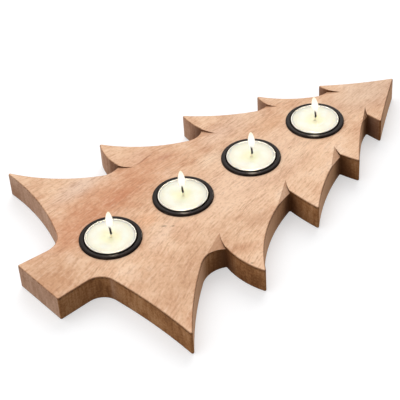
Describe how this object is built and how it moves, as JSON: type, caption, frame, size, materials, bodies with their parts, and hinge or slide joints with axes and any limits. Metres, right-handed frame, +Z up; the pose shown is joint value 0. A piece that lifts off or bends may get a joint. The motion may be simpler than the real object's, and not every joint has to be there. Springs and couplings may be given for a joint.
{
  "type": "advent candle holder",
  "caption": "Flat wooden board sawn as a fir tree, with round black metal cups in a row along its middle that hold tealight candles.",
  "frame": {"origin": "on the table, under the middle of the board's outline", "axes": "+Z up, +Y along the tree from trunk to tip, +X across the tree to the right seen from above"},
  "size_m": [0.23, 0.3594, 0.0331],
  "materials": {
    "tree_wood": "oiled solid hardwood, fine open grain",
    "cup_steel": "black satin enamel on pressed steel",
    "tealight_aluminium": "bright thin pressed aluminium",
    "candle_wax": "cream paraffin wax, glossy where melted",
    "wick_cotton": "charred cotton braid",
    "sustainer_steel": "tinned steel"
  },
  "bodies": {
    "board": {"tree_board": "tree_wood"},
    "cup_1": {"candle_cup_1": "cup_steel"},
    "tealight_1": {"tealight_cup_1": "tealight_aluminium", "tealight_wax_1": "candle_wax", "wick_1": "wick_cotton", "wick_sustainer_1": "sustainer_steel"},
    "cup_2": {"candle_cup_2": "cup_steel"},
    "tealight_2": {"tealight_cup_2": "tealight_aluminium", "tealight_wax_2": "candle_wax", "wick_2": "wick_cotton", "wick_sustainer_2": "sustainer_steel"},
    "cup_3": {"candle_cup_3": "cup_steel"},
    "tealight_3": {"tealight_cup_3": "tealight_aluminium", "tealight_wax_3": "candle_wax", "wick_3": "wick_cotton", "wick_sustainer_3": "sustainer_steel"},
    "cup_4": {"candle_cup_4": "cup_steel"},
    "tealight_4": {"tealight_cup_4": "tealight_aluminium", "tealight_wax_4": "candle_wax", "wick_4": "wick_cotton", "wick_sustainer_4": "sustainer_steel"}
  },
  "joints": [
    {"name": "cup_1_lift", "type": "slide", "parent": "board", "child": "cup_1", "axis": [0, 0, 1], "range_m": [0, 0.016]},
    {"name": "tealight_1_lift", "type": "slide", "parent": "cup_1", "child": "tealight_1", "axis": [0, 0, 1], "range_m": [0, 0.018]},
    {"name": "cup_2_lift", "type": "slide", "parent": "board", "child": "cup_2", "axis": [0, 0, 1], "range_m": [0, 0.016]},
    {"name": "tealight_2_lift", "type": "slide", "parent": "cup_2", "child": "tealight_2", "axis": [0, 0, 1], "range_m": [0, 0.018]},
    {"name": "cup_3_lift", "type": "slide", "parent": "board", "child": "cup_3", "axis": [0, 0, 1], "range_m": [0, 0.016]},
    {"name": "tealight_3_lift", "type": "slide", "parent": "cup_3", "child": "tealight_3", "axis": [0, 0, 1], "range_m": [0, 0.018]},
    {"name": "cup_4_lift", "type": "slide", "parent": "board", "child": "cup_4", "axis": [0, 0, 1], "range_m": [0, 0.016]},
    {"name": "tealight_4_lift", "type": "slide", "parent": "cup_4", "child": "tealight_4", "axis": [0, 0, 1], "range_m": [0, 0.018]}
  ]
}
